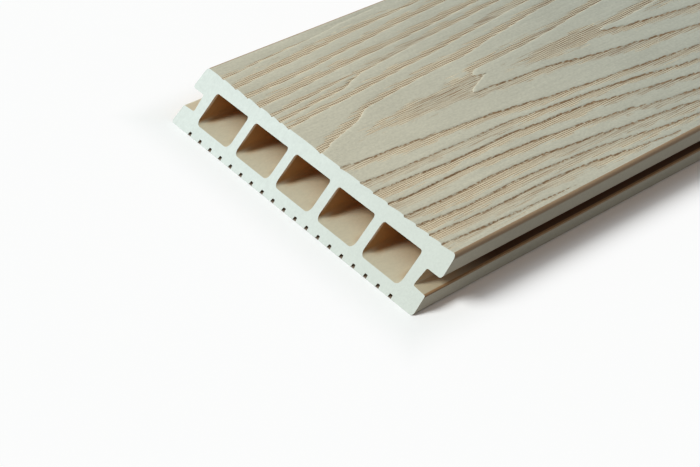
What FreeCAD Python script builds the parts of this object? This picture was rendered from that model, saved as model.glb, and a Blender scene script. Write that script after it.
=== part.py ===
"""Hollow composite decking board: one extruded length, grain face up, end sawn at a slant."""
import os
from math import acos, radians, sin, tan

import FreeCAD
import Part

V = FreeCAD.Vector

# Overall sizes, mm
WIDTH = 160.0            # across the upper lips
THICKNESS = 20.0         # grain face to grooved face
LENGTH = 2200.0          # toe of the slanted end to the square end
END_SLANT = 45.0         # degrees, the near end leans back going up

# Walls and chambers
CHAMBER_COUNT = 5
WEB = 4.7                # walls between the chambers
OUTER_WEB = 6.0          # between the outer chambers and the clip grooves
TOP_WALL = 4.5           # over the chambers
BOTTOM_WALL = 4.1        # under the chambers, grooves included
CHAMBER_TOP_RADIUS = 1.2
CHAMBER_BOTTOM_RADIUS = 2.3

# Clip groove along both long sides
UPPER_LIP = 7.5          # height of the upper lip
LOWER_LIP = 6.7          # height of the lower lip
GROOVE_DEPTH = 7.9       # from the upper lip's tip to the groove's wall
GROOVE_LEAN = 0.8        # the groove's wall leans in going down
LIP_FLARE = 0.8          # the upper lip's side leans out going down
LOWER_LIP_SETBACK = 1.6  # the lower lip's upper edge, from the upper lip's tip
LOWER_LIP_FLARE = 0.6    # the lower lip's side leans out going down
LIP_DIP = 0.3            # the lower lip's upper face falls towards the side

# Edge radii of the outline
TOP_EDGE_RADIUS = 1.6
LIP_TIP_RADIUS = 1.2
LOWER_LIP_RADIUS = 0.4
GROOVE_ROOT_RADIUS = 0.7
BOTTOM_EDGE_RADIUS = 1.2

# Narrow grooves of the underside
SLOT_COUNT = 19
SLOT_MARGIN = 14.2       # from the upper lip's tip to the outermost groove's middle
SLOT_MOUTH = 1.9
SLOT_FLOOR = 1.5
SLOT_DEPTH = 1.2
SLOT_RADIUS = 0.25


def corner_arc(before, corner, after, radius):
    """Tangent points and middle of the arc that rounds one corner of an outline."""
    back = (before - corner).normalize()
    ahead = (after - corner).normalize()
    half_angle = acos(max(-1.0, min(1.0, back.dot(ahead)))) / 2
    reach = radius / tan(half_angle)
    start = corner + back * reach
    end = corner + ahead * reach
    bisector = (back + ahead).normalize()
    centre = corner + bisector * (radius / sin(half_angle))
    return start, centre - bisector * radius, end


def rounded_wire(corners):
    """Closed wire through (x, z, radius) corners, in the section plane."""
    points = [V(x, 0, z) for x, z, _ in corners]
    arcs = []
    for i, (_, _, radius) in enumerate(corners):
        after = points[(i + 1) % len(points)]
        arcs.append(corner_arc(points[i - 1], points[i], after, radius))
    edges = []
    for i, (start, middle, end) in enumerate(arcs):
        edges.append(Part.Arc(start, middle, end).toShape())
        following = arcs[(i + 1) % len(arcs)][0]
        edges.append(Part.LineSegment(end, following).toShape())
    return Part.Wire(edges)


def side_corners():
    """Corners of the right-hand side, from the underside up to the grain face."""
    tip = WIDTH / 2
    lower_edge = tip - LOWER_LIP_SETBACK
    wall = tip - GROOVE_DEPTH
    ceiling = THICKNESS - UPPER_LIP
    return [
        (lower_edge + LOWER_LIP_FLARE, 0, BOTTOM_EDGE_RADIUS),
        (lower_edge, LOWER_LIP - LIP_DIP, LOWER_LIP_RADIUS),
        (wall - GROOVE_LEAN, LOWER_LIP, GROOVE_ROOT_RADIUS),
        (wall, ceiling, GROOVE_ROOT_RADIUS),
        (tip, ceiling, LIP_TIP_RADIUS),
        (tip - LIP_FLARE, THICKNESS, TOP_EDGE_RADIUS),
    ]


def slot_corners(middle):
    """Corners of one narrow groove of the underside, from left to right."""
    mouth = SLOT_MOUTH / 2
    floor = SLOT_FLOOR / 2
    return [
        (middle - mouth, 0, SLOT_RADIUS),
        (middle - floor, SLOT_DEPTH, SLOT_RADIUS),
        (middle + floor, SLOT_DEPTH, SLOT_RADIUS),
        (middle + mouth, 0, SLOT_RADIUS),
    ]


def outline():
    """The board's outer outline, with both clip grooves and the grooved underside."""
    right = side_corners()
    left = [(-x, z, radius) for x, z, radius in reversed(right)]
    first = SLOT_MARGIN - WIDTH / 2
    pitch = -2 * first / (SLOT_COUNT - 1)
    underside = []
    for i in range(SLOT_COUNT):
        underside += slot_corners(first + i * pitch)
    return rounded_wire(right + left + underside)


def chamber_wires():
    """One rounded outline for each chamber, from left to right."""
    first = GROOVE_DEPTH + OUTER_WEB - WIDTH / 2
    pitch = (-2 * first + WEB) / CHAMBER_COUNT
    top = THICKNESS - TOP_WALL
    wires = []
    for i in range(CHAMBER_COUNT):
        left = first + i * pitch
        right = left + pitch - WEB
        wires.append(rounded_wire([
            (left, BOTTOM_WALL, CHAMBER_BOTTOM_RADIUS),
            (right, BOTTOM_WALL, CHAMBER_BOTTOM_RADIUS),
            (right, top, CHAMBER_TOP_RADIUS),
            (left, top, CHAMBER_TOP_RADIUS),
        ]))
    return wires


def extruded_section():
    """The section, drawn out over the board's length about the middle."""
    section = Part.Face(outline())
    for wire in chamber_wires():
        section = section.cut(Part.Face(wire))
    solid = section.extrude(V(0, LENGTH, 0)).Solids[0]
    solid.translate(V(0, -LENGTH / 2, 0))
    return solid


def slanted_waste():
    """The wedge that the slanted saw cut takes off the near end."""
    near = -LENGTH / 2
    lean = THICKNESS * tan(radians(END_SLANT))
    clear = WIDTH / 2 + THICKNESS
    wedge = Part.makePolygon([
        V(-clear, near, 0),
        V(-clear, near - THICKNESS, 0),
        V(-clear, near - THICKNESS, 2 * THICKNESS),
        V(-clear, near + 2 * lean, 2 * THICKNESS),
        V(-clear, near, 0),
    ])
    return Part.Face(wedge).extrude(V(2 * clear, 0, 0))


def board():
    """The finished board, lying on its grooved face."""
    return extruded_section().cut(slanted_waste()).Solids[0]


os.makedirs("parts", exist_ok=True)
finished = board()
finished.exportStep("parts/board.step")
print("board", finished.isValid(), round(finished.Volume / 1000), "cm3", finished.BoundBox)
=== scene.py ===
# %% [markdown]
# # A hollow composite decking board
#
# The object is one length of hollow decking, 160 mm wide, 20 mm thick and 2.2 m long. It is pressed
# from wood flour and plastic: five chambers run through it, a clip groove runs along each long side,
# and a roller has stamped wood grain into its upper face. One end is sawn off at a slant.
# The CAD model gives the true section and length. This script adds what a saw and a roller leave:
# the relief of the grain, the brushed hatch in its hollows, and the looks of the three surfaces.

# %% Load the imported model
import math

import bmesh
import bpy
import numpy as np
from mathutils import Matrix, Vector, geometry


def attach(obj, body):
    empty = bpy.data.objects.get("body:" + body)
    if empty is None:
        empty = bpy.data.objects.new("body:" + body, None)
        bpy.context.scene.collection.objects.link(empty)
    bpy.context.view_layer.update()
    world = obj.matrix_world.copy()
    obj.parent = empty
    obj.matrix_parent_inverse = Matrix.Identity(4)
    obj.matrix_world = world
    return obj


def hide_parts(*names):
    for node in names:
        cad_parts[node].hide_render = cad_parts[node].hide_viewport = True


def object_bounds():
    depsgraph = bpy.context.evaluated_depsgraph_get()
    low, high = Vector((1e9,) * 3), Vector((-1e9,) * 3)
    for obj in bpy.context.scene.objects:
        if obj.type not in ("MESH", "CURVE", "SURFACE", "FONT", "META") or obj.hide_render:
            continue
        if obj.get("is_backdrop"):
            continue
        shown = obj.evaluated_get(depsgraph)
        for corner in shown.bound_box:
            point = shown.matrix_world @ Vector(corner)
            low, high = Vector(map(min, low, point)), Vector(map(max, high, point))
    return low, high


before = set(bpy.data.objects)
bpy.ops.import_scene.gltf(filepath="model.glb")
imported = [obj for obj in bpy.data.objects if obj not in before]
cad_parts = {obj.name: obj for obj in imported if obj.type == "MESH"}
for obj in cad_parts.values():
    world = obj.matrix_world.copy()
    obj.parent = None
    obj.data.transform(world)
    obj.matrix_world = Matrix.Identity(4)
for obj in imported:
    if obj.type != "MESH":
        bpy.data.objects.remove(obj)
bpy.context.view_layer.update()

MM = 0.001

# %% [markdown]
# ## Picking by place
#
# A modeller clicks on what to change. In a script the click becomes a test: each corner, edge or face
# is asked where it lies, and those that answer yes are selected. Everything below works this way.

# %% Helpers for selecting and shaping
def only(piece):
    """Selects one object, and makes it the active one."""
    bpy.ops.object.select_all(action="DESELECT")
    piece.select_set(True)
    bpy.context.view_layer.objects.active = piece


def pick(kind, test):
    """In edit mode, selects the corners, edges or faces that pass the test, and says how many."""
    bpy.ops.mesh.select_mode(type=kind)
    bpy.ops.mesh.select_all(action="DESELECT")
    mesh = bpy.context.object.data
    net = bmesh.from_edit_mesh(mesh)
    items = {"VERT": net.verts, "EDGE": net.edges, "FACE": net.faces}[kind]
    chosen = [item for item in items if test(item)]
    for item in chosen:
        item.select_set(True)
    bmesh.update_edit_mesh(mesh)
    return len(chosen)


def at(vert, x, z, slack=0.02):
    """True for a corner at this place of the section, in mm."""
    return abs(vert.co.x - x * MM) < slack * MM and abs(vert.co.z - z * MM) < slack * MM


def shift_corner(old, new):
    """Moves a corner of the section, all along the piece."""
    pick("VERT", lambda v: at(v, *old))
    bpy.ops.transform.translate(value=((new[0] - old[0]) * MM, 0, (new[1] - old[1]) * MM))


def round_corner(x, z, radius, angle=90, segments=4):
    """Rounds a long edge of the section. A radius reaches further along a sharper corner."""
    pick("EDGE", lambda e: all(at(v, x, z) for v in e.verts))
    reach = radius / math.tan(math.radians(angle / 2))
    bpy.ops.mesh.bevel(offset=reach * MM, segments=segments, affect="EDGES")


def long_bar(name, left, right, bottom, top):
    """A bar along the board, added from a cube, in edit mode. It is over-long at both ends."""
    bpy.ops.object.select_all(action="DESELECT")
    place = ((left + right) / 2 * MM, 0, (bottom + top) / 2 * MM)
    size = ((right - left) * MM, (LENGTH + 2 * SPARE) * MM, (top - bottom) * MM)
    bpy.ops.mesh.primitive_cube_add(size=1, location=place, scale=size)
    bpy.ops.object.transform_apply(location=True, rotation=False, scale=True)
    bar = bpy.context.object
    bar.name = name
    bpy.ops.object.mode_set(mode="EDIT")
    return bar


# %% [markdown]
# ## The blank
#
# The board could be drawn as one outline and pulled long. A joiner would rather start from a plain
# bar and take away the grooves and chambers, and that is easier to follow, so it is done here.
# The bar is a little over-long, because the saw cuts both ends at the very end.

# %% The blank, with its flared sides
WIDTH, THICKNESS, LENGTH = 160.0, 20.0, 2200.0
HALF = WIDTH / 2
SPARE = 5.0

LIP_UNDER = 12.5          # height of the upper lip's underside
LOWER_LIP_TOP = 6.4

board = long_bar("board_dressed", -HALF, HALF, 0, THICKNESS)
for height in (LOWER_LIP_TOP, LIP_UNDER):
    bpy.ops.mesh.select_all(action="SELECT")
    bpy.ops.mesh.bisect(plane_co=(0, 0, height * MM), plane_no=(0, 0, 1))
for side in (-1, 1):
    shift_corner((side * HALF, 0), (side * 79.0, 0))
    shift_corner((side * HALF, LOWER_LIP_TOP), (side * 78.4, LOWER_LIP_TOP))
    shift_corner((side * HALF, THICKNESS), (side * 79.2, THICKNESS))
bpy.ops.object.mode_set(mode="OBJECT")
print("blank:", len(board.data.polygons), "faces")

# %% [markdown]
# ## Grooves, chambers and slots
#
# Each hollow is a second bar, shaped like the hollow itself, with its edges already rounded. One
# chamber bar and one slot bar are modelled and copied. A Boolean modifier then takes them all away.

# %% The bars that stand for the hollows
cutters = []

groove = long_bar("groove_bar", 71.3, 86.0, 6.05, LIP_UNDER)
shift_corner((71.3, LIP_UNDER), (72.1, LIP_UNDER))
shift_corner((71.3, 6.05), (71.3, 6.7))
round_corner(71.3, 6.7, 0.7, angle=84.6, segments=3)
round_corner(72.1, LIP_UNDER, 0.7, angle=97.9, segments=3)
bpy.ops.object.mode_set(mode="OBJECT")
cutters.append(groove)

bpy.ops.object.duplicate()
twin = bpy.context.object
bpy.ops.transform.resize(value=(-1, 1, 1), center_override=(0, 0, 0))
bpy.ops.object.transform_apply(location=True, rotation=True, scale=True)
bpy.ops.object.mode_set(mode="EDIT")
bpy.ops.mesh.select_all(action="SELECT")
bpy.ops.mesh.normals_make_consistent(inside=False)
bpy.ops.object.mode_set(mode="OBJECT")
cutters.append(twin)

CHAMBER_COUNT = 5
CHAMBER_LEFT, CHAMBER_WIDTH, WEB = -66.1, 22.68, 4.7
FLOOR, CEILING = 4.1, 15.5

chamber = long_bar("chamber_bar", CHAMBER_LEFT, CHAMBER_LEFT + CHAMBER_WIDTH, FLOOR, CEILING)
for x in (CHAMBER_LEFT, CHAMBER_LEFT + CHAMBER_WIDTH):
    round_corner(x, FLOOR, 2.3, segments=6)
    round_corner(x, CEILING, 1.2)
bpy.ops.object.mode_set(mode="OBJECT")
cutters.append(chamber)
for i in range(1, CHAMBER_COUNT):
    bpy.ops.object.duplicate()
    bpy.ops.transform.translate(value=((CHAMBER_WIDTH + WEB) * MM, 0, 0))
    cutters.append(bpy.context.object)

SLOT_COUNT, SLOT_FIRST = 19, -65.8
SLOT_PITCH = -2 * SLOT_FIRST / (SLOT_COUNT - 1)
SLOT_HALF_MOUTH, SLOT_HALF_FLOOR, SLOT_DEPTH = 0.95, 0.75, 1.2

slot_bar = long_bar("slot_bar", SLOT_FIRST - 1.1, SLOT_FIRST + 1.1, -0.9, SLOT_DEPTH)
for side in (-1, 1):
    floor_corner = (SLOT_FIRST + side * SLOT_HALF_FLOOR, SLOT_DEPTH)
    shift_corner((SLOT_FIRST + side * 1.1, SLOT_DEPTH), floor_corner)
    round_corner(*floor_corner, 0.25, angle=99.5, segments=2)
bpy.ops.object.mode_set(mode="OBJECT")
cutters.append(slot_bar)
for i in range(1, SLOT_COUNT):
    bpy.ops.object.duplicate()
    bpy.ops.transform.translate(value=(SLOT_PITCH * MM, 0, 0))
    cutters.append(bpy.context.object)
print("bars to take away:", len(cutters))

# %% Take the hollows out of the blank
only(cutters[0])
for cutter in cutters:
    cutter.select_set(True)
bpy.ops.object.join()
hollows = bpy.context.object
bpy.ops.object.transform_apply(location=True, rotation=True, scale=True)

only(board)
cut = board.modifiers.new("hollows", "BOOLEAN")
cut.operation, cut.solver, cut.object = "DIFFERENCE", "EXACT", hollows
bpy.ops.object.modifier_apply(modifier=cut.name)
bpy.data.objects.remove(hollows)
print("hollowed board:", len(board.data.vertices), "corners,", len(board.data.polygons), "faces")

# %% Round the long outer edges
bpy.ops.object.mode_set(mode="EDIT")
bpy.ops.mesh.select_all(action="SELECT")
bpy.ops.mesh.remove_doubles(threshold=0.02 * MM)
for side in (-1, 1):
    round_corner(side * 79.0, 0, 1.2, angle=84.7)
    round_corner(side * 78.4, LOWER_LIP_TOP, 0.4, angle=97.8, segments=2)
    round_corner(side * HALF, LIP_UNDER, 1.2, angle=83.9)
    round_corner(side * 79.2, THICKNESS, 1.6, angle=96.1, segments=5)
mouths = pick("EDGE", lambda e: all(abs(v.co.z) < 0.01 * MM and abs(v.co.x) < 70 * MM for v in e.verts)
              and e.calc_length() > 1)
bpy.ops.mesh.bevel(offset=0.2 * MM, segments=2, affect="EDGES")
print("slot edges softened:", mouths)

ROW = 50.0                # plain cross rows, which keep the long faces from being needles
rows = np.arange(-LENGTH / 2 - SPARE + ROW, LENGTH / 2 + SPARE - 1, ROW)
for y in rows:
    bpy.ops.mesh.select_all(action="SELECT")
    bpy.ops.mesh.bisect(plane_co=(0, y * MM, 0), plane_no=(0, 1, 0))
top_faces = pick("FACE", lambda f: f.normal.z > 0.999 and all(abs(v.co.z - 20 * MM) < 0.01 * MM for v in f.verts))
bpy.ops.mesh.delete(type="FACE")
bpy.ops.object.mode_set(mode="OBJECT")
edge_x = max(v.co.x for v in board.data.vertices if v.co.z > 19.99 * MM) / MM
print("top faces taken off for the grain:", top_faces, "- flat face reaches x =", round(edge_x, 2), "mm")

# %% [markdown]
# ## The lines of the grain
#
# Stamped grain copies a plain-sawn plank. Its rings show as nested arches, open at the far end, and each
# ring ends in a small sharp step. Inside the arch the face is smooth and full height. Just outside
# it lies low and is brushed, and then climbs back to full height before the next step.
# So the whole relief follows from one drawing: where each step runs. Near the sawn end the steps are
# drawn as points (distance from the end's toe, place across the board) in millimetres.

# %% Steps drawn near the sawn end
LEFT_LEGS = {
    -6: [(8, -66), (20, -67), (30, -68.3), (45, -69.8), (60, -70.9), (75, -72), (90, -73.9), (105, -75),
         (120, -76.3)],
    -5: [(8, -57), (20, -57.9), (35, -59.9), (50, -60.8), (65, -62.3), (80, -64.2), (95, -65.2),
         (110, -66.5), (133, -68.2)],
    -4: [(8, -49), (20, -49.5), (40, -50.6), (55, -51.7), (70, -53.6), (85, -55.3), (100, -57),
         (120, -59), (142, -60.8)],
    -3: [(8, -40), (20, -40.7), (35, -41.5), (45, -42.7), (60, -44.2), (80, -45.8), (100, -46.9),
         (120, -48.6), (140, -50.3), (155, -52)],
    -2: [(8, -26), (20, -27), (35, -29), (50, -30.4), (57, -31.2), (60, -32.4), (65, -34.6),
         (70, -36.3), (80, -37.6), (95, -39.3), (120, -41.9), (140, -43.8), (163, -46.2)],
    -1: [(8, -20), (20, -21.3), (40, -23.5), (60, -25.3), (80, -27.6), (100, -29.6), (120, -31.9),
         (140, -34.4), (165, -37.3)],
    0: [(8, 3), (20, -0.5), (25, -1.6), (26.5, -2.8), (30, -4.3), (40, -7.2), (48, -9.8), (51, -11.8),
        (53, -13.5), (56, -14.6), (65, -15.6), (80, -17.4), (95, -19.1), (110, -19.7), (117, -20.2),
        (125, -21.7), (135, -24), (150, -26), (160, -27.9), (173, -29.8)],
    1: [(109.6, -7.2), (109.9, -8.2), (112.5, -9.4), (120, -9.8), (135, -10.4), (150, -11.4), (165, -13.2),
        (180, -15.4), (202, -17.8)],
    2: [(182.5, 0.1), (184.5, -0.9), (187, -1.1), (192, -0.7), (200, -0.8), (210, -1.4), (222, -3)],
}
RIGHT_LEGS = {
    2: [(182.5, 0.1), (184.5, 1), (187, 1.5), (190, 2.1), (195, 3.5), (200, 4.6), (207, 5.7), (215, 6.9),
        (225, 8.6), (238, 10.5)],
    1: [(100.3, 3), (101, 3.5), (110, 3.7), (117, 4.9), (125, 5.5), (135, 6.2), (140, 6.9), (150, 8.8),
        (157, 10.7), (165, 12.4), (180, 15), (195, 17.7), (210, 20.2), (224, 23)],
    0: [(8, 8.2), (20, 10.8), (27, 12.1), (35, 13), (45, 13.4), (55, 14.5), (65, 15.7), (80, 17.5),
        (95, 19), (105, 20.8), (115, 22.4), (123, 24.3), (135, 25.6), (150, 27.8), (165, 29.3),
        (180, 31.2), (195, 33), (210, 34.6)],
    -1: [(8, 22.6), (20, 23.3), (30, 24.7), (45, 25.6), (60, 26.2), (75, 27.1), (90, 27), (100, 27.8),
         (110, 29.1), (125, 30.6), (140, 32.3), (155, 34.5), (170, 36.7), (180, 39), (190, 41.2),
         (200, 42.4)],
    -2: [(8, 30.2), (20, 31), (32, 31.7), (45, 32.6), (55, 33.8), (70, 34.1), (90, 33.9), (100, 35),
         (108, 36.2), (116, 36.2), (122, 37), (135, 38.3), (145, 41), (155, 43), (165, 44.9),
         (180, 47.7), (192, 50)],
    -3: [(8, 39), (20, 39.8), (30, 41), (50, 40.8), (65, 41.2), (80, 42.3), (95, 43.5), (105, 45),
         (115, 46.2), (125, 47.5), (135, 49.5), (145, 51), (155, 54), (165, 56), (183, 58.5)],
    -4: [(8, 49), (20, 49.5), (35, 50.5), (50, 51), (65, 50.6), (80, 51.5), (90, 52.2), (105, 54.7),
         (120, 56.3), (135, 59), (150, 60.8), (160, 62), (175, 65)],
    -5: [(8, 55.6), (20, 56.5), (30, 57.7), (40, 59), (55, 59), (68, 58.7), (80, 59.3), (95, 60.7),
         (110, 61.8), (120, 63.4), (135, 66.3), (145, 68.4), (166, 71)],
    -6: [(8, 63.3), (20, 63.8), (35, 64.8), (45, 65.7), (60, 66.1), (75, 66.1), (90, 66.9), (105, 68.4),
         (120, 71), (135, 73.3), (150, 75.2), (159, 76.6)],
    -7: [(8, 70), (20, 70.6), (35, 72), (50, 73), (70, 74.2), (90, 75.7), (105, 78)],
}
# One arch ends in two lobes with a narrow notch between them, and one step has a short side branch.
NOTCH_RIGHT = [(100.3, 3), (100.7, 2.4), (102, 1.3), (105, 0), (110, -2.3), (112.5, -3.5), (115.2, -4.7)]
NOTCH_LEFT = [(109.6, -7.2), (109.7, -6.3), (112, -5.5), (115.2, -4.7)]
BRANCH = [(8, -31.8), (20, -32.5), (30, -33.4), (45, -35), (55, -36.2), (62, -36.8), (68, -37.2)]

print("steps drawn:", len(LEFT_LEGS) + len(RIGHT_LEGS) + 3)

# %% [markdown]
# ## The rest of the length
#
# Further on, the arches go on by rule. Each new arch starts at a tip on the heart line, about
# 84 mm after the last, and its two legs drift apart and leave over the edges some 700 mm later.
# A slow sway, shared by neighbours so that no two steps meet, keeps them from looking ruled.

# %% Arches by rule, joined to the drawn ones
TIP_GAP = 84.0
DRAWN_END = 240.0
tips = {ring: 182.5 - TIP_GAP * (2 - ring) for ring in range(-8, 3)}
dice = np.random.default_rng(7)
ring = 2
while tips[ring] < LENGTH + TIP_GAP:
    tips[ring + 1] = tips[ring] + TIP_GAP * dice.uniform(0.85, 1.16)
    ring += 1
phases = {ring: dice.uniform(0, 6.28, 4) for ring in tips}
tips[1] = 100.3           # this arch was drawn, and its tip lies here


def wander(ring, side, y, run):
    """A random line between -1 and 1, with a new turn every run mm. Each step has its own."""
    knots = np.arange(-900, LENGTH + 200, run)
    turns = np.random.default_rng([ring + 20, side + 1, int(run * 10)]).uniform(-1, 1, len(knots))
    return np.interp(y, knots, turns)


jumps = {(ring, side): (tips[ring] + dice.uniform(60, 520), dice.uniform(1.5, 3.5))
         for ring in tips if ring > 0 for side in (-1, 1) if dice.uniform() < 0.6}


def heart(y):
    """Where the middle of the arches lies."""
    free = np.clip((y - DRAWN_END) / 300, 0, 1)
    return 2.5 + free * (5 * np.sin(y / 310 + 0.6) + 2 * np.sin(y / 127))


def ruled_leg(ring, side, y):
    """One leg of an arch by rule: it leaves the tip fast and then settles to a steady drift."""
    run = np.maximum(y - tips[ring], 0)
    x = heart(y) + side * (0.42 if side > 0 else 0.45) * run ** 0.8
    free = np.clip((y - DRAWN_END) / 90, 0, 1)
    sway = 1.5 * np.sin(y / 38 + x / 14) + 0.9 * np.sin(y / 21 - x / 9 + 1.3)
    own = 0.45 * np.sin(y / 33 + phases[ring][0]) + 0.25 * np.sin(y / 11 + phases[ring][1])
    grown = np.clip(run / 60, 0, 1)
    x = x + free * grown * (sway + side * own)
    if (ring, side) in jumps:
        place, size = jumps[ring, side]
        late = np.clip((y - place + 130) / 130, 0, 1) * (y < place + 20)
        leap = np.clip((y - place) / 8, 0, 1)
        x = x - side * size * late * (1 - leap)
    return x


def step_at(ring, side, y):
    """Where a step lies across the board at each distance y along it."""
    drawn = (LEFT_LEGS if side < 0 else RIGHT_LEGS).get(ring)
    if not drawn:
        return ruled_leg(ring, side, y)
    along, across = np.array(drawn, float).T
    fine = np.arange(along[0], along[-1] + 0.5, 0.5)
    smooth = np.interp(fine, along, across)
    padded = np.pad(smooth, 3, mode="reflect", reflect_type="odd")
    smooth = np.convolve(padded, np.ones(7) / 7, mode="valid")
    smooth[0], smooth[-1] = across[0], across[-1]
    ruled = ruled_leg(ring, side, y)
    gap = across[-1] - ruled_leg(ring, side, along[-1:])[0]
    onward = ruled + gap * np.exp(-np.maximum(y - along[-1], 0) / 140)
    return np.where(y <= along[-1], np.interp(y, fine, smooth), onward)


def tears(ring, side):
    """Fibres lie along the board, so a slanting step is torn into short straight runs. Here they end."""
    lot = np.random.default_rng([ring + 20, side + 1])
    ends = -900 + np.cumsum(lot.uniform(2.5, 9, 700))
    return ends, lot.uniform(0.2, 0.8, len(ends)) * (1.0 if side > 0 else 0.35)


def torn(ring, side, y, x):
    """How far the torn step lies from its smooth line."""
    ends, straight = tears(ring, side)
    turn = np.searchsorted(ends, y, side="right") - 1
    start_x, end_x = np.interp(ends[turn], y, x), np.interp(ends[turn + 1], y, x)
    share = (y - ends[turn]) / (ends[turn + 1] - ends[turn]) - 0.5
    return -straight[turn] * (end_x - start_x) * share


print("arches over the whole length:", len(tips))

# %% [markdown]
# ## From lines to a relief
#
# A fine even grid would need millions of faces to keep the steps crisp. Instead each step is given
# three lines: its crest, its slope and its foot. Between the steps come loose points for the gentle
# climb. Each point also carries two marks for the finish: how sunk it is, and how its slope faces the sun,
# for painted shade on slopes that face away from it and a painted highlight on those that face it.
# A Delaunay triangulation joins them all and keeps every line as an edge. It is done on a
# drawing that is squeezed lengthways, so that the triangles come out long and lie with the grain.

# %% Collect the points of the relief
DEPTH = 0.5               # of the stamped hollows, mm
BAND = 4.5                # width of a brushed band
SLOPE_LIT, SLOPE_DARK = 0.7, 0.8    # width of a step that faces left, and of one that faces right
FLAT_EDGE = 1.3           # strip along both long edges that stays flat
SQUEEZE = 4.0
NEAR_STEP, FAR_STEP = 1.2, 4.0
NEAR_END = 262.0

line_rows = np.concatenate([np.arange(8, NEAR_END, NEAR_STEP), np.arange(NEAR_END, LENGTH + SPARE - 1, FAR_STEP)])
points, heights, sunk, painted_slope_light, bonds = [], [], [], [], []


def fade(x):
    """Full relief inside the board, none at its long edges."""
    return np.clip((edge_x - FLAT_EDGE - np.abs(x)) / 1.2, 0, 1)


def add_line(x, y, drop, low, slope_light_mark):
    """Adds a line of points, joined one to the next. drop is in mm below the face."""
    keep = np.abs(x) < edge_x - FLAT_EDGE
    first = None
    for i in range(len(x)):
        if not keep[i]:
            first = None
            continue
        points.append((x[i], y[i]))
        heights.append(-drop[i] * fade(x[i]))
        sunk.append(low[i] * min(1, (edge_x - 1 - abs(x[i])) / 9))
        painted_slope_light.append(slope_light_mark[i] * fade(x[i]))
        if first is not None:
            bonds.append((first, len(points) - 1))
        first = len(points) - 1


def add_step(x, y, deep):
    """One step as crest, slope and foot. The hollow lies to the right of the way the line runs."""
    dx, dy = np.gradient(x), np.gradient(y)
    size = np.hypot(dx, dy)
    out_x, out_y = dy / size, -dx / size
    right = np.clip(0.5 + out_x / 2, 0, 1)
    wide = SLOPE_LIT + (SLOPE_DARK - SLOPE_LIT) * right
    # The mark is positive where a slope faces right, away from the sun, and gets painted shade later. It is negative
    # where a slope faces left, and gets a painted highlight.
    slope_light_mark = deep * (2 * right - 1)
    add_line(x, y, 0.03 * deep, 0 * x, 0 * x)
    add_line(x + out_x * wide * 0.5, y + out_y * wide * 0.5, DEPTH * 0.5 * deep, 0 * x, slope_light_mark)
    add_line(x + out_x * wide, y + out_y * wide, DEPTH * deep, 0 * x + 1, np.maximum(0.7 * slope_light_mark, 0))


def leg(ring, side):
    """The rows where a leg exists, and its place in each."""
    drawn = (LEFT_LEGS if side < 0 else RIGHT_LEGS).get(ring)
    start = drawn[0][0] if drawn else tips[ring]
    ends = tears(ring, side)[0]
    ends = ends[(ends > start + 2) & (ends < NEAR_END)]
    y = np.concatenate([line_rows[line_rows > start + 0.6], ends - 0.2, ends + 0.2])
    y = np.sort(np.concatenate([[start], y]))
    y = y[np.concatenate([[True], np.diff(y) > 0.15])]
    x = step_at(ring, side, y)
    return x + torn(ring, side, y, x) * np.clip((y - start) / 6, 0, 1), y


def depth_of(ring, side, y):
    """A stamped step is deeper in one place than in another."""
    settled = np.clip((y - tips[ring]) / 20, 0, 1)
    return 0.85 + settled * (0.22 * wander(ring, side, y, 9) + 0.13 * wander(ring, side, y, 23))


legs = {}
for ring in sorted(tips):
    for side in (-1, 1):
        table = LEFT_LEGS if side < 0 else RIGHT_LEGS
        if (ring < 3 and ring not in table) or tips[ring] > LENGTH - 4 * FAR_STEP:
            continue
        legs[ring, side] = leg(ring, side)

for ring in sorted(tips):
    left = legs.get((ring, -1))
    right = legs.get((ring, 1))
    if ring < 1:
        if left:
            x, y = left
            add_step(x[::-1], y[::-1], depth_of(ring, -1, y)[::-1])
        if right:
            x, y = right
            add_step(x, y, depth_of(ring, 1, y))
    elif left and right:
        paths = [(left[0][::-1], left[1][::-1], depth_of(ring, -1, left[1])[::-1])]
        if ring == 1:
            for notch in (NOTCH_LEFT[1:], NOTCH_RIGHT[-2::-1]):
                along, across = np.array(notch, float).T
                paths.append((across, along, 0 * along + 0.85))
        paths.append((right[0][1:], right[1][1:], depth_of(ring, 1, right[1])[1:]))
        add_step(*[np.concatenate(part) for part in zip(*paths)])

BRANCH_END = 68.0
branch_y, branch_x = np.array(BRANCH, float).T
y = np.arange(8, BRANCH_END, NEAR_STEP)[::-1]
add_step(np.interp(y, branch_y, branch_x), y, np.clip((BRANCH_END - y) / 25, 0, 0.8))
print("points on the steps:", len(points), "- joins:", len(bonds))

# %% Loose points between the steps
NOTCH_STEPS = [(-1, NOTCH_RIGHT, 9.0), (1, NOTCH_LEFT, BAND)]


def steps_in_row(y):
    """All steps met by a line across the board at y: place, side, depth and width of the band outside."""
    met = []
    for (ring, side), (xs, ys) in legs.items():
        if ys[0] <= y <= ys[-1]:
            wide = BAND * (1 + 0.3 * wander(ring, side, y, 31))
            met.append((float(np.interp(y, ys, xs)), side, float(depth_of(ring, side, y)), wide))
    if BRANCH[0][0] <= y < BRANCH_END:
        met.append((float(np.interp(y, branch_y, branch_x)), -1, min((BRANCH_END - y) / 25, 0.8), BAND * 0.7))
    for side, drawn, wide in NOTCH_STEPS:
        if drawn[0][0] < y < drawn[-1][0]:
            along, across = np.array(drawn, float).T
            met.append((float(np.interp(y, along, across)), side, 0.85, wide))
    return sorted(m for m in met if abs(m[0]) < edge_x + 12)


tip_places = np.array(sorted(tips.values()))


def heart_band(x, y):
    """Under the tip of an arch the hollow runs out as a brushed stripe along the heart line."""
    after = tip_places[tip_places <= y][-1]
    ahead = tip_places[tip_places > y][0]
    ready = np.clip(((y - after) / (ahead - after) - 0.2) / 0.6, 0, 1)
    wide = 4.6 + 3.5 * math.exp(-((y - 104) / 9) ** 2)
    middle = heart(y) - 2.5 + (0 if y > DRAWN_END else -1.0)
    return ready * np.clip(1.15 * np.exp(-((x - middle) / wide) ** 2), 0, 1)


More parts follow.
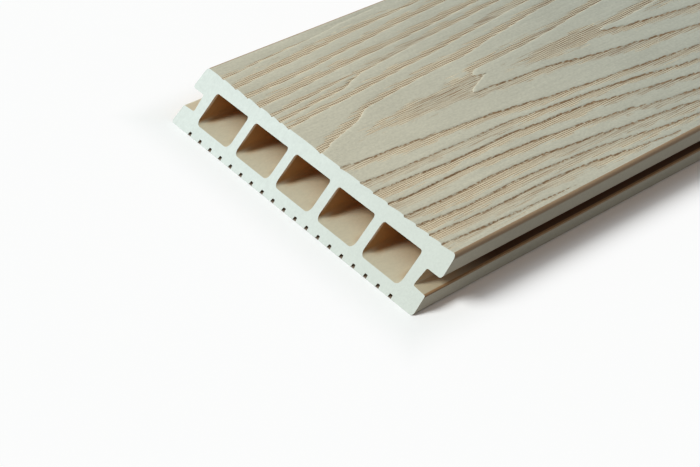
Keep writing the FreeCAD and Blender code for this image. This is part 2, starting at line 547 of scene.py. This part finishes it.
def low_between(x, y, met):
    """How far the face is sunk between its steps, 0 to 1, and how deep it lies for that."""
    low, deep = np.zeros_like(x), np.zeros_like(x)
    for i, (place, side, depth, wide) in enumerate(met):
        if side < 0:
            room = place - met[i - 1][0] if i else 9.0
            inside = (x < place) & ((x > met[i - 1][0]) if i else True)
        else:
            last = i + 1 == len(met)
            room = 9.0 if last else met[i + 1][0] - place
            inside = (x > place) & (True if last else (x < met[i + 1][0]))
        here = np.clip(1 - np.abs(place - x) / (1.5 * min(wide, 0.6 * room)), 0, 1) * min(1, 2 * depth) * inside
        deep = np.where(here > low, depth * here ** 1.4, deep)
        low = np.maximum(low, here)
    for i in range(len(met) - 1):
        if met[i][1] < 0 < met[i + 1][1]:
            inside = (x > met[i][0]) & (x < met[i + 1][0])
            here = heart_band(x, y) * inside
            deep = np.where(here > low, 0.8 * here ** 1.4, deep)
            low = np.maximum(low, here)
    return low, deep


def clear_of_steps(x, met):
    """Loose points keep off the slopes."""
    free = np.ones_like(x, bool)
    for place, side, _, _ in met:
        wide = SLOPE_LIT if side < 0 else SLOPE_DARK
        low_side = (place - x) if side < 0 else (x - place)
        free &= (low_side < -0.35) | (low_side > wide + 0.45)
    return free


for y in np.concatenate([np.arange(4, NEAR_END, 2.4), np.arange(NEAR_END, LENGTH + SPARE - 2, 9.0)]):
    gap = 1.1 if y < NEAR_END else 1.9
    shifted = 0.5 * gap * (int(y * 10) % 2)
    x = np.arange(-edge_x + 1.4 + shifted, edge_x - 1.3, gap)
    met = steps_in_row(y)
    x = x[clear_of_steps(x, met)]
    low, deep = low_between(x, y, met)
    points.extend(zip(x, np.full_like(x, y)))
    heights.extend(-DEPTH * deep * fade(x))
    sunk.extend(low * np.clip((edge_x - 1 - np.abs(x)) / 9, 0, 1))
    painted_slope_light.extend(0 * x)
print("all points:", len(points))

# %% Join them into a face
rows_y = np.concatenate([[-SPARE], rows + LENGTH / 2, [LENGTH + SPARE]])
corner_start = len(points)
for y in rows_y:
    for side in (-1, 1):
        points.append((side * edge_x, y))
        heights.append(0.0)
        sunk.append(0.0)
        painted_slope_light.append(0.0)
count = len(rows_y)
for i in range(count - 1):
    for side in (0, 1):
        bonds.append((corner_start + 2 * i + side, corner_start + 2 * i + 2 + side))
bonds.append((corner_start, corner_start + 1))
bonds.append((corner_start + 2 * count - 2, corner_start + 2 * count - 1))

flat = [Vector((x, y / SQUEEZE)) for x, y in points]
drawn, _, triangles, origin, _, _ = geometry.delaunay_2d_cdt(flat, bonds, [], 1, 1e-4)
height_of, sunk_of, painted_slope_light_of = [], [], []
for i, source in enumerate(origin):
    if not source:
        source = [min(range(len(flat)), key=lambda k: (flat[k] - drawn[i]).length_squared)]
    height_of.append(min(heights[k] for k in source))
    sunk_of.append(max(sunk[k] for k in source))
    painted_slope_light_of.append(max((painted_slope_light[k] for k in source), key=abs))
corners = [(v.x * MM, (v.y * SQUEEZE - LENGTH / 2) * MM, (THICKNESS + h) * MM) for v, h in zip(drawn, height_of)]
skin_mesh = bpy.data.meshes.new("grain_face")
skin_mesh.from_pydata(corners, [], [list(t) for t in triangles])
for name, values in (("pressed", sunk_of), ("painted_slope_light", painted_slope_light_of)):
    mark = skin_mesh.attributes.new(name, "FLOAT", "POINT")
    mark.data.foreach_set("value", np.array(values, np.float32))
skin = bpy.data.objects.new("grain_face", skin_mesh)
bpy.context.collection.objects.link(skin)
print("grain face:", len(skin_mesh.vertices), "corners,", len(skin_mesh.polygons), "triangles, deepest",
      round(min(height_of), 3), "mm")

# %% [markdown]
# ## One closed board
#
# The grain face is set on the board in place of the plain face, and the corners that lie together
# are merged. Then the saw: a plane at 45 degrees takes the near end off, and a square one the far
# end. Bisect fills each cut, so the board is closed again, and the steps show as nicks in the cut.

# %% Materials to fill in later
FINISHES = ("stamped_grain", "extruded_side", "sawn_end")
finish = {name: bpy.data.materials.new(name) for name in FINISHES}
skin_mesh.materials.append(finish["stamped_grain"])
board.data.materials.clear()
for name in ("extruded_side", "stamped_grain", "sawn_end"):
    board.data.materials.append(finish[name])

# %% Set the grain on the board, and saw both ends
only(board)
skin.select_set(True)
bpy.ops.object.join()
bpy.ops.object.mode_set(mode="EDIT")
bpy.ops.mesh.select_mode(type="VERT")
bpy.ops.mesh.select_all(action="SELECT")
bpy.ops.mesh.remove_doubles(threshold=0.004 * MM)

TOE = -LENGTH / 2 * MM
CUTS = [((0, TOE, 0), (0, 1, -1)), ((0, -TOE, 0), (0, -1, 0))]
SAWN = board.data.materials.find("sawn_end")
for place, inward in CUTS:
    bpy.ops.mesh.select_all(action="SELECT")
    bpy.ops.mesh.bisect(plane_co=place, plane_no=inward, use_fill=True, clear_inner=True)
    normal = Vector(inward).normalized()
    sawn = pick("FACE", lambda f: abs(f.normal.dot(normal)) > 0.999
                and abs((f.calc_center_median() - Vector(place)).dot(normal)) < 0.01 * MM)
    board.active_material_index = SAWN
    bpy.ops.object.material_slot_assign()
    print("sawn faces:", sawn)
bpy.ops.mesh.select_all(action="SELECT")
bpy.ops.mesh.normals_make_consistent(inside=False)
bpy.ops.mesh.select_all(action="DESELECT")
bpy.ops.mesh.select_mode(type="EDGE")
bpy.ops.mesh.select_non_manifold()
net = bmesh.from_edit_mesh(board.data)
print("open edges:", sum(e.select for e in net.edges), "- volume cm3:", round(net.calc_volume(signed=True) * 1e6, 1))
bpy.ops.object.mode_set(mode="OBJECT")
only(board)
bpy.ops.object.shade_smooth_by_angle(angle=math.radians(38))
print("board:", len(board.data.vertices), "corners,", sum(len(p.vertices) - 2 for p in board.data.polygons), "triangles")

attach(board, "root")
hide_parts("board")

# %% [markdown]
# ## Finishes
#
# All three surfaces are the same wood flour and plastic. The stamped face is dull and grey-green
# where it is smooth, and paler brown where the brush has opened it. The extruded faces are a smooth beige.
# The sawn end is fresh and much paler. Every pattern is built from Object coordinates in metres.

# %% Node helpers
def node(tree, kind, **values):
    """Adds a node. Values whose names are inputs go to those inputs, the others to the node."""
    made = tree.nodes.new(kind)
    for name, value in values.items():
        label = name.replace("_", " ")
        if label in made.inputs:
            target = made.inputs[label]
            if isinstance(value, bpy.types.NodeSocket):
                tree.links.new(value, target)
            else:
                target.default_value = value
        else:
            setattr(made, name, value)
    return made


def ramp(tree, value, low, high):
    """0 at low and 1 at high, eased."""
    made = node(tree, "ShaderNodeMapRange", Value=value, interpolation_type="SMOOTHSTEP")
    made.inputs["From Min"].default_value = low
    made.inputs["From Max"].default_value = high
    return made.outputs["Result"]


def maths(tree, operation, first, second=0.0):
    """One step of arithmetic on two values."""
    made = node(tree, "ShaderNodeMath", operation=operation)
    for socket, value in zip(made.inputs, (first, second)):
        if isinstance(value, bpy.types.NodeSocket):
            tree.links.new(value, socket)
        else:
            socket.default_value = value
    return made.outputs[0]


def blend_colour(tree, share, first, second):
    """Mixes two colours by a share."""
    made = node(tree, "ShaderNodeMix", data_type="RGBA")
    for name, value in (("Factor", share), ("A", first), ("B", second)):
        sockets = [s for s in made.inputs if s.name == name and s.enabled]
        socket = sockets[0] if name == "Factor" else [s for s in sockets if s.type == "RGBA"][0]
        if isinstance(value, bpy.types.NodeSocket):
            tree.links.new(value, socket)
        else:
            socket.default_value = value
    return [s for s in made.outputs if s.type == "RGBA"][0]


def srgb(red, green, blue):
    """A colour as a picture editor writes it, 0 to 255, as Blender's linear values."""
    linear = [(c / 255 / 12.92) if c <= 10 else ((c / 255 + 0.055) / 1.055) ** 2.4 for c in (red, green, blue)]
    return (*linear, 1.0)


def scaled_noise(tree, size, stretch=(1, 1, 1), detail=3.0):
    """Noise whose patches are about size mm wide, stretched along the axes."""
    place = node(tree, "ShaderNodeTexCoord")
    mapping = node(tree, "ShaderNodeMapping", Vector=place.outputs["Object"])
    mapping.inputs["Scale"].default_value = [1 / (size * MM * s) for s in stretch]
    return node(tree, "ShaderNodeTexNoise", Vector=mapping.outputs["Vector"], Scale=1.0, Detail=detail).outputs["Fac"]


# %% The flecks that all three finishes share
flecks = bpy.data.node_groups.new("flecks", "ShaderNodeTree")
flecks.interface.new_socket("Base", in_out="INPUT", socket_type="NodeSocketColor")
flecks.interface.new_socket("Strength", in_out="INPUT", socket_type="NodeSocketFloat")
flecks.interface.new_socket("Color", in_out="OUTPUT", socket_type="NodeSocketColor")
flecks.interface.new_socket("Height", in_out="OUTPUT", socket_type="NodeSocketFloat")
group_in, group_out = flecks.nodes.new("NodeGroupInput"), flecks.nodes.new("NodeGroupOutput")
fine = scaled_noise(flecks, 0.9, (1, 1.6, 1), detail=4)
broad = scaled_noise(flecks, 14, (1, 2.5, 1), detail=3)
both = maths(flecks, "ADD", maths(flecks, "MULTIPLY", fine, 0.65), maths(flecks, "MULTIPLY", broad, 0.35))
swing = maths(flecks, "MULTIPLY", maths(flecks, "SUBTRACT", both, 0.5), group_in.outputs["Strength"])
lit = maths(flecks, "ADD", swing, 1.0)
tinted = node(flecks, "ShaderNodeVectorMath", operation="SCALE")
flecks.links.new(group_in.outputs["Base"], tinted.inputs[0])
flecks.links.new(lit, tinted.inputs["Scale"])
flecks.links.new(tinted.outputs[0], group_out.inputs["Color"])
flecks.links.new(fine, group_out.inputs["Height"])
print("shared group:", flecks.name)


def fleck(tree, base, strength):
    """Places the shared flecks in a material."""
    made = tree.nodes.new("ShaderNodeGroup")
    made.node_tree = flecks
    if isinstance(base, bpy.types.NodeSocket):
        tree.links.new(base, made.inputs["Base"])
    else:
        made.inputs["Base"].default_value = base
    made.inputs["Strength"].default_value = strength
    return made.outputs["Color"], made.outputs["Height"]


def start(name):
    """Empties a material and gives it a Principled shader."""
    material = finish[name]
    material.use_nodes = True
    tree = material.node_tree
    tree.nodes.clear()
    shader = tree.nodes.new("ShaderNodeBsdfPrincipled")
    result = tree.nodes.new("ShaderNodeOutputMaterial")
    tree.links.new(shader.outputs["BSDF"], result.inputs["Surface"])
    return tree, shader


def bump(tree, shader, height, distance, strength=1.0):
    """Relief in the shading: height times distance in mm."""
    made = node(tree, "ShaderNodeBump", Height=height, Strength=strength, Distance=distance * MM)
    tree.links.new(made.outputs["Normal"], shader.inputs["Normal"])


# %% Stamped grain
tree, shader = start("stamped_grain")
pressed = node(tree, "ShaderNodeAttribute", attribute_name="pressed").outputs["Fac"]
painted_slope_light = node(tree, "ShaderNodeAttribute", attribute_name="painted_slope_light").outputs["Fac"]
uneven = scaled_noise(tree, 0.9, (1, 14, 1), detail=3)
place = node(tree, "ShaderNodeTexCoord")
split = node(tree, "ShaderNodeSeparateXYZ", Vector=place.outputs["Object"])
END_Y = -LENGTH / 2 * MM
further = ramp(tree, split.outputs["Y"], END_Y, END_Y + 0.24)
lean = maths(tree, "MULTIPLY", split.outputs["X"], maths(tree, "MULTIPLY", maths(tree, "SUBTRACT", 1.0, further), 4.0))
worn = maths(tree, "ADD", pressed, maths(tree, "MULTIPLY", maths(tree, "SUBTRACT", uneven, 0.5), 1.5))
worn = maths(tree, "ADD", worn, maths(tree, "MULTIPLY", lean, 0.4))
worn = maths(tree, "ADD", worn, maths(tree, "MULTIPLY", maths(tree, "MAXIMUM", split.outputs["X"], 0.0), 1.2))
brushed = maths(tree, "MULTIPLY", ramp(tree, worn, 0.3, 0.38), ramp(tree, pressed, 0.02, 0.1))

WEAVE_ACROSS, WEAVE_ALONG = 1.14, 1.06   # pitch of the brushed hatch, mm
SLOW = 0.42                              # over this length from the end, m, its strokes come to lie twice as far apart
drift = maths(tree, "MULTIPLY", scaled_noise(tree, 5, (1, 1.5, 1), detail=3), 7.0)
from_end = maths(tree, "SUBTRACT", split.outputs["Y"], END_Y)
slowing = node(tree, "ShaderNodeClamp", Value=maths(tree, "DIVIDE", from_end, SLOW)).outputs[0]
slowed = maths(tree, "MULTIPLY", maths(tree, "MULTIPLY", slowing, slowing), SLOW / 4)
rest = maths(tree, "MULTIPLY", maths(tree, "MAXIMUM", maths(tree, "SUBTRACT", from_end, SLOW), 0.0), 0.5)
spread = maths(tree, "SUBTRACT", from_end, maths(tree, "ADD", slowed, rest))
ticks = []
for socket, pitch in ((split.outputs["X"], WEAVE_ACROSS), (spread, WEAVE_ALONG)):
    turn = maths(tree, "ADD", maths(tree, "MULTIPLY", socket, 2 * math.pi / (pitch * MM)), drift)
    ticks.append(maths(tree, "MULTIPLY", maths(tree, "ADD", maths(tree, "SINE", turn), 1.0), 0.5))
strands = scaled_noise(tree, 0.7, (1, 26, 1), detail=3)
streaks = ramp(tree, strands, 0.46, 0.64)
across = maths(tree, "ADD", maths(tree, "MULTIPLY", ticks[1], 0.42), maths(tree, "MULTIPLY", ticks[0], 0.58))
hatched = ramp(tree, across, 0.36, 0.78)
streaky = ramp(tree, maths(tree, "ADD", scaled_noise(tree, 16, (1, 6, 1), detail=2), maths(tree, "MINIMUM", lean, 0.04)), 0.45, 0.65)
strength = maths(tree, "ADD", maths(tree, "MULTIPLY", further, 0.22), 0.7)
hatched = maths(tree, "MULTIPLY", hatched, maths(tree, "SUBTRACT", strength, maths(tree, "MULTIPLY", streaky, 0.4)))
brown = maths(tree, "MULTIPLY", streaks, maths(tree, "ADD", maths(tree, "MULTIPLY", streaky, 0.35), 0.15))
toward_foot = maths(tree, "ADD", maths(tree, "MULTIPLY", ramp(tree, pressed, 0.2, 0.95), 0.35), 0.75)
pits = maths(tree, "MULTIPLY", maths(tree, "ADD", hatched, brown), maths(tree, "MULTIPLY", brushed, toward_foot))

# Painted light falloff: these colours are painted lighter and warmer at the sawn end, and greyer and darker some 240
# mm further along.
smooth_colour = blend_colour(tree, further, srgb(193, 188, 168), srgb(168, 169, 156))
open_near = blend_colour(tree, ramp(tree, split.outputs["X"], -30 * MM, 60 * MM), srgb(219, 206, 178), srgb(210, 196, 168))
open_colour = blend_colour(tree, further, open_near, srgb(197, 189, 165))
pit_colour = blend_colour(tree, further, srgb(139, 107, 71), srgb(94, 68, 40))
open_colour = blend_colour(tree, maths(tree, "MULTIPLY", streaky, 0.6), open_colour, smooth_colour)
opened = blend_colour(tree, brushed, smooth_colour, open_colour)
colour = blend_colour(tree, pits, opened, pit_colour)
# Painted shade: slopes facing right, away from the sun, are painted dark brown in broken grains. Painted highlight:
# slopes facing left are painted pale.
grains = ramp(tree, scaled_noise(tree, 0.8, (1, 2, 1), detail=2), 0.35, 0.65)
slope_shade_share = maths(tree, "MULTIPLY", painted_slope_light, maths(tree, "ADD", grains, 0.35))
colour = blend_colour(tree, ramp(tree, slope_shade_share, 0.1, 0.9), colour, srgb(138, 110, 77))
colour = blend_colour(tree, ramp(tree, painted_slope_light, -0.15, -0.8), colour, srgb(205, 198, 176))
strand_tint = maths(tree, "ADD", maths(tree, "MULTIPLY", maths(tree, "SUBTRACT", strands, 0.5), 0.24), 1.0)
tinted = node(tree, "ShaderNodeVectorMath", operation="SCALE")
tree.links.new(colour, tinted.inputs[0])
tree.links.new(strand_tint, tinted.inputs["Scale"])
colour, grit = fleck(tree, tinted.outputs[0], 0.6)
tree.links.new(colour, shader.inputs["Base Color"])
shader.inputs["Roughness"].default_value = 0.6
relief = maths(tree, "SUBTRACT", maths(tree, "MULTIPLY", grit, 0.7), pits)
bump(tree, shader, relief, 0.22)

# %% Extruded sides and chambers
tree, shader = start("extruded_side")
place = node(tree, "ShaderNodeTexCoord")
split = node(tree, "ShaderNodeSeparateXYZ", Vector=place.outputs["Object"])
height = split.outputs["Z"]
off_centre = maths(tree, "ABSOLUTE", split.outputs["X"])
edge = ramp(tree, height, 17.9 * MM, 18.9 * MM)
outer = ramp(tree, off_centre, 69 * MM, 70 * MM)
recessed = maths(tree, "MULTIPLY", outer, ramp(tree, off_centre, 78.6 * MM, 77.2 * MM))
recessed = maths(tree, "MULTIPLY", recessed, ramp(tree, height, 2 * MM, 5 * MM))
above_floor = ramp(tree, height, 4.3 * MM, 5.5 * MM)
inner = maths(tree, "SUBTRACT", 1.0, outer)
chamber = maths(tree, "MULTIPLY", inner, ramp(tree, height, 2.4 * MM, 3.2 * MM))
slot = maths(tree, "MULTIPLY", maths(tree, "SUBTRACT", inner, chamber), ramp(tree, height, 0.15 * MM, 0.6 * MM))
side_face = maths(tree, "MULTIPLY", outer, ramp(tree, height, 0.2 * MM, 1.4 * MM))
wall = maths(tree, "MULTIPLY", chamber, above_floor)
# Painted bounce light: the outer sides are painted paler within some 60 mm of the sawn end.
beyond = ramp(tree, split.outputs["Y"], END_Y, END_Y + 0.06)
outside = blend_colour(tree, beyond, srgb(232, 229, 214), srgb(196, 192, 176))
colour = blend_colour(tree, side_face, srgb(195, 188, 163), outside)
# Painted shade: the walls of the slots underneath, which lie in shade, are painted brown.
colour = blend_colour(tree, slot, colour, srgb(152, 120, 84))
behind_cut = maths(tree, "SUBTRACT", maths(tree, "SUBTRACT", split.outputs["Y"], END_Y), height)
# Painted shade: the chamber floors are painted browner from 6 to 26 mm behind the cut, where the ceiling's shadow
# falls.
deep_floor = maths(tree, "MULTIPLY", chamber, ramp(tree, behind_cut, 6 * MM, 26 * MM))
colour = blend_colour(tree, deep_floor, colour, srgb(150, 126, 92))
# Painted shade: the chamber floors are painted brown along both walls, where the walls cast their shade.
off_middle = maths(tree, "PINGPONG", off_centre, (CHAMBER_WIDTH + WEB) / 2 * MM)
corner = maths(tree, "MULTIPLY", ramp(tree, off_middle, 5.5 * MM, 10.0 * MM), ramp(tree, behind_cut, 2 * MM, 9 * MM))
colour = blend_colour(tree, maths(tree, "MULTIPLY", corner, chamber), colour, srgb(160, 128, 86))
# Painted shade: the chamber walls above the floor are painted brown, as the shade inside the chambers.
colour = blend_colour(tree, wall, colour, srgb(164, 130, 85))
# Painted shade: the right groove darkens from 12 to 45 mm behind the sawn end and stays near-black brown beyond, where
# the upper lip shades it; the left groove keeps the paler brown.
deep_in = ramp(tree, split.outputs["Y"], END_Y + 0.012, END_Y + 0.045)
deep_in = maths(tree, "MULTIPLY", deep_in, ramp(tree, split.outputs["X"], -70 * MM, 70 * MM))
recess = blend_colour(tree, deep_in, srgb(190, 178, 150), srgb(70, 45, 25))
colour = blend_colour(tree, recessed, colour, recess)
# Painted shade: the rounded edge of the right lower lip is painted brown.
low_edge = maths(tree, "MULTIPLY", ramp(tree, height, 5.4 * MM, 5.9 * MM), ramp(tree, height, 6.9 * MM, 6.5 * MM))
low_edge = maths(tree, "MULTIPLY", low_edge, ramp(tree, split.outputs["X"], 77.2 * MM, 77.8 * MM))
colour = blend_colour(tree, low_edge, colour, srgb(150, 116, 78))
# Painted shade: the rounded top edges are painted brown, as the shade line where they turn away from the sun.
colour = blend_colour(tree, edge, colour, srgb(150, 124, 94))
mouth = maths(tree, "MULTIPLY", ramp(tree, behind_cut, 2.4 * MM, 0.6 * MM), wall)
mouth = maths(tree, "MULTIPLY", mouth, ramp(tree, height, 5 * MM, 12 * MM))
colour = blend_colour(tree, mouth, colour, srgb(236, 236, 226))
# Painted shade: light that bounces off these faces takes a browner colour than the camera sees, so the shade in
# chambers and grooves comes out brown.
bounced = tree.nodes.new("ShaderNodeLightPath").outputs["Is Diffuse Ray"]
colour = blend_colour(tree, bounced, colour, srgb(218, 166, 98))
colour, grit = fleck(tree, colour, 0.3)
tree.links.new(colour, shader.inputs["Base Color"])
shader.inputs["Roughness"].default_value = 0.5
bump(tree, shader, maths(tree, "ADD", grit, scaled_noise(tree, 1.2, (1, 40, 1))), 0.05)

# %% Sawn ends
tree, shader = start("sawn_end")
clouds = ramp(tree, scaled_noise(tree, 2.5, (1, 1, 1), detail=5), 0.3, 0.7)
place = node(tree, "ShaderNodeTexCoord")
split = node(tree, "ShaderNodeSeparateXYZ", Vector=place.outputs["Object"])
# Painted light falloff: the cut face is painted darker towards the right.
rightward = ramp(tree, split.outputs["X"], -50 * MM, 90 * MM)
chalk = blend_colour(tree, clouds, srgb(212, 221, 216), srgb(207, 216, 211))
chalk = blend_colour(tree, rightward, chalk, srgb(200, 207, 199))
colour, grit = fleck(tree, chalk, 0.24)
tree.links.new(colour, shader.inputs["Base Color"])
shader.inputs["Roughness"].default_value = 0.7
bump(tree, shader, grit, 0.12)
print("finishes:", ", ".join(FINISHES))

# %% [markdown]
# ## Floor, light and camera
#
# The board lies on a plain pale floor. One soft sun from the left does the modelling, because the
# steps of the grain only show when light rakes across them, and a pale sky fills the shade.

# %% Floor
def looked_at(tree):
    """1 for what the camera sees, also in a reflection or through glass, and 0 for light on the board."""
    path = tree.nodes.new("ShaderNodeLightPath")
    mirrored = maths(tree, "MAXIMUM", path.outputs["Is Glossy Ray"], path.outputs["Is Transmission Ray"])
    return maths(tree, "MAXIMUM", path.outputs["Is Camera Ray"], mirrored)


bpy.ops.object.select_all(action="DESELECT")
bpy.ops.mesh.primitive_plane_add(size=60, location=(0, 0, 0))
floor = bpy.context.object
floor.name = "floor"
pale = bpy.data.materials.new("pale_floor")
pale.use_nodes = True
tree = pale.node_tree
shader = tree.nodes["Principled BSDF"]
shader.inputs["Roughness"].default_value = 0.9
shader.inputs["Specular IOR Level"].default_value = 0.1
seen = looked_at(tree)
place = node(tree, "ShaderNodeTexCoord")
split = node(tree, "ShaderNodeSeparateXYZ", Vector=place.outputs["Object"])
beside = maths(tree, "SUBTRACT", maths(tree, "ABSOLUTE", split.outputs["X"]), HALF * MM)
before = maths(tree, "SUBTRACT", maths(tree, "ABSOLUTE", split.outputs["Y"]), LENGTH / 2 * MM)
clear = ramp(tree, maths(tree, "MAXIMUM", beside, before), 0.5 * MM, 22 * MM)
# Painted shadow: the camera sees the floor under the board dark brown. Light bouncing off the floor sees that dark
# brown everywhere, so little light comes up from below.
from_foot = maths(tree, "MAXIMUM", maths(tree, "ADD", beside, 2 * MM), before)
uncovered = maths(tree, "MULTIPLY", seen, ramp(tree, from_foot, -0.4 * MM, 0.2 * MM))
tone = blend_colour(tree, uncovered, (0.19, 0.145, 0.10, 1), (0.98, 0.98, 0.98, 1))
tree.links.new(tone, shader.inputs["Base Color"])
glow = node(tree, "ShaderNodeEmission", Color=(1, 1, 1, 1), Strength=1.0)
lifted = tree.nodes.new("ShaderNodeMixShader")
tree.links.new(maths(tree, "MULTIPLY", maths(tree, "MULTIPLY", seen, clear), 0.75), lifted.inputs["Fac"])
tree.links.new(shader.outputs["BSDF"], lifted.inputs[1])
tree.links.new(glow.outputs["Emission"], lifted.inputs[2])
tree.links.new(lifted.outputs["Shader"], tree.nodes["Material Output"].inputs["Surface"])
floor.data.materials.append(pale)
floor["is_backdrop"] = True

# %% Sky and sun
world = bpy.context.scene.world or bpy.data.worlds.new("sky")
bpy.context.scene.world = world
world.use_nodes = True
tree = world.node_tree
tree.nodes.clear()
sky_light = node(tree, "ShaderNodeBackground", Color=(0.98, 1.0, 0.98, 1), Strength=0.26)
white_view = node(tree, "ShaderNodeBackground", Color=(1, 1, 1, 1), Strength=1.0)
mixed = tree.nodes.new("ShaderNodeMixShader")
sky_out = tree.nodes.new("ShaderNodeOutputWorld")
tree.links.new(looked_at(tree), mixed.inputs["Fac"])
tree.links.new(sky_light.outputs["Background"], mixed.inputs[1])
tree.links.new(white_view.outputs["Background"], mixed.inputs[2])
tree.links.new(mixed.outputs["Shader"], sky_out.inputs["Surface"])

sun_data = bpy.data.lights.new("soft_sun", "SUN")
sun_data.energy = 3.05
sun_data.angle = math.radians(24)
sun_data.color = (0.97, 1.0, 0.99)
sun = bpy.data.objects.new("soft_sun", sun_data)
bpy.context.collection.objects.link(sun)
toward = Vector((-0.68, -0.85, 1.0))
sun.rotation_euler = toward.to_track_quat("Z", "Y").to_euler()

# %% Camera
camera_data = bpy.data.cameras.new("camera")
camera_data.lens, camera_data.sensor_width = 76.8245, 36.0
camera_data.clip_start, camera_data.clip_end = 0.01, 100
camera = bpy.data.objects.new("camera", camera_data)
bpy.context.collection.objects.link(camera)
camera.location = (0.374087, -1.389875, 0.370258)
camera.rotation_euler = [math.radians(a) for a in (51.1617, -2.0748, 50.5668)]
bpy.context.scene.camera = camera
bpy.context.scene.view_settings.view_transform = "Standard"

# %% [markdown]
# ## The size of the dressed board
#
# The dressed board has to lie in the CAD model's box, because the looks never change the size.

# %% Print the box of the dressed board
low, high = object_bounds()
print("visual box, mm:", [round(v / MM, 2) for v in low], [round(v / MM, 2) for v in high])
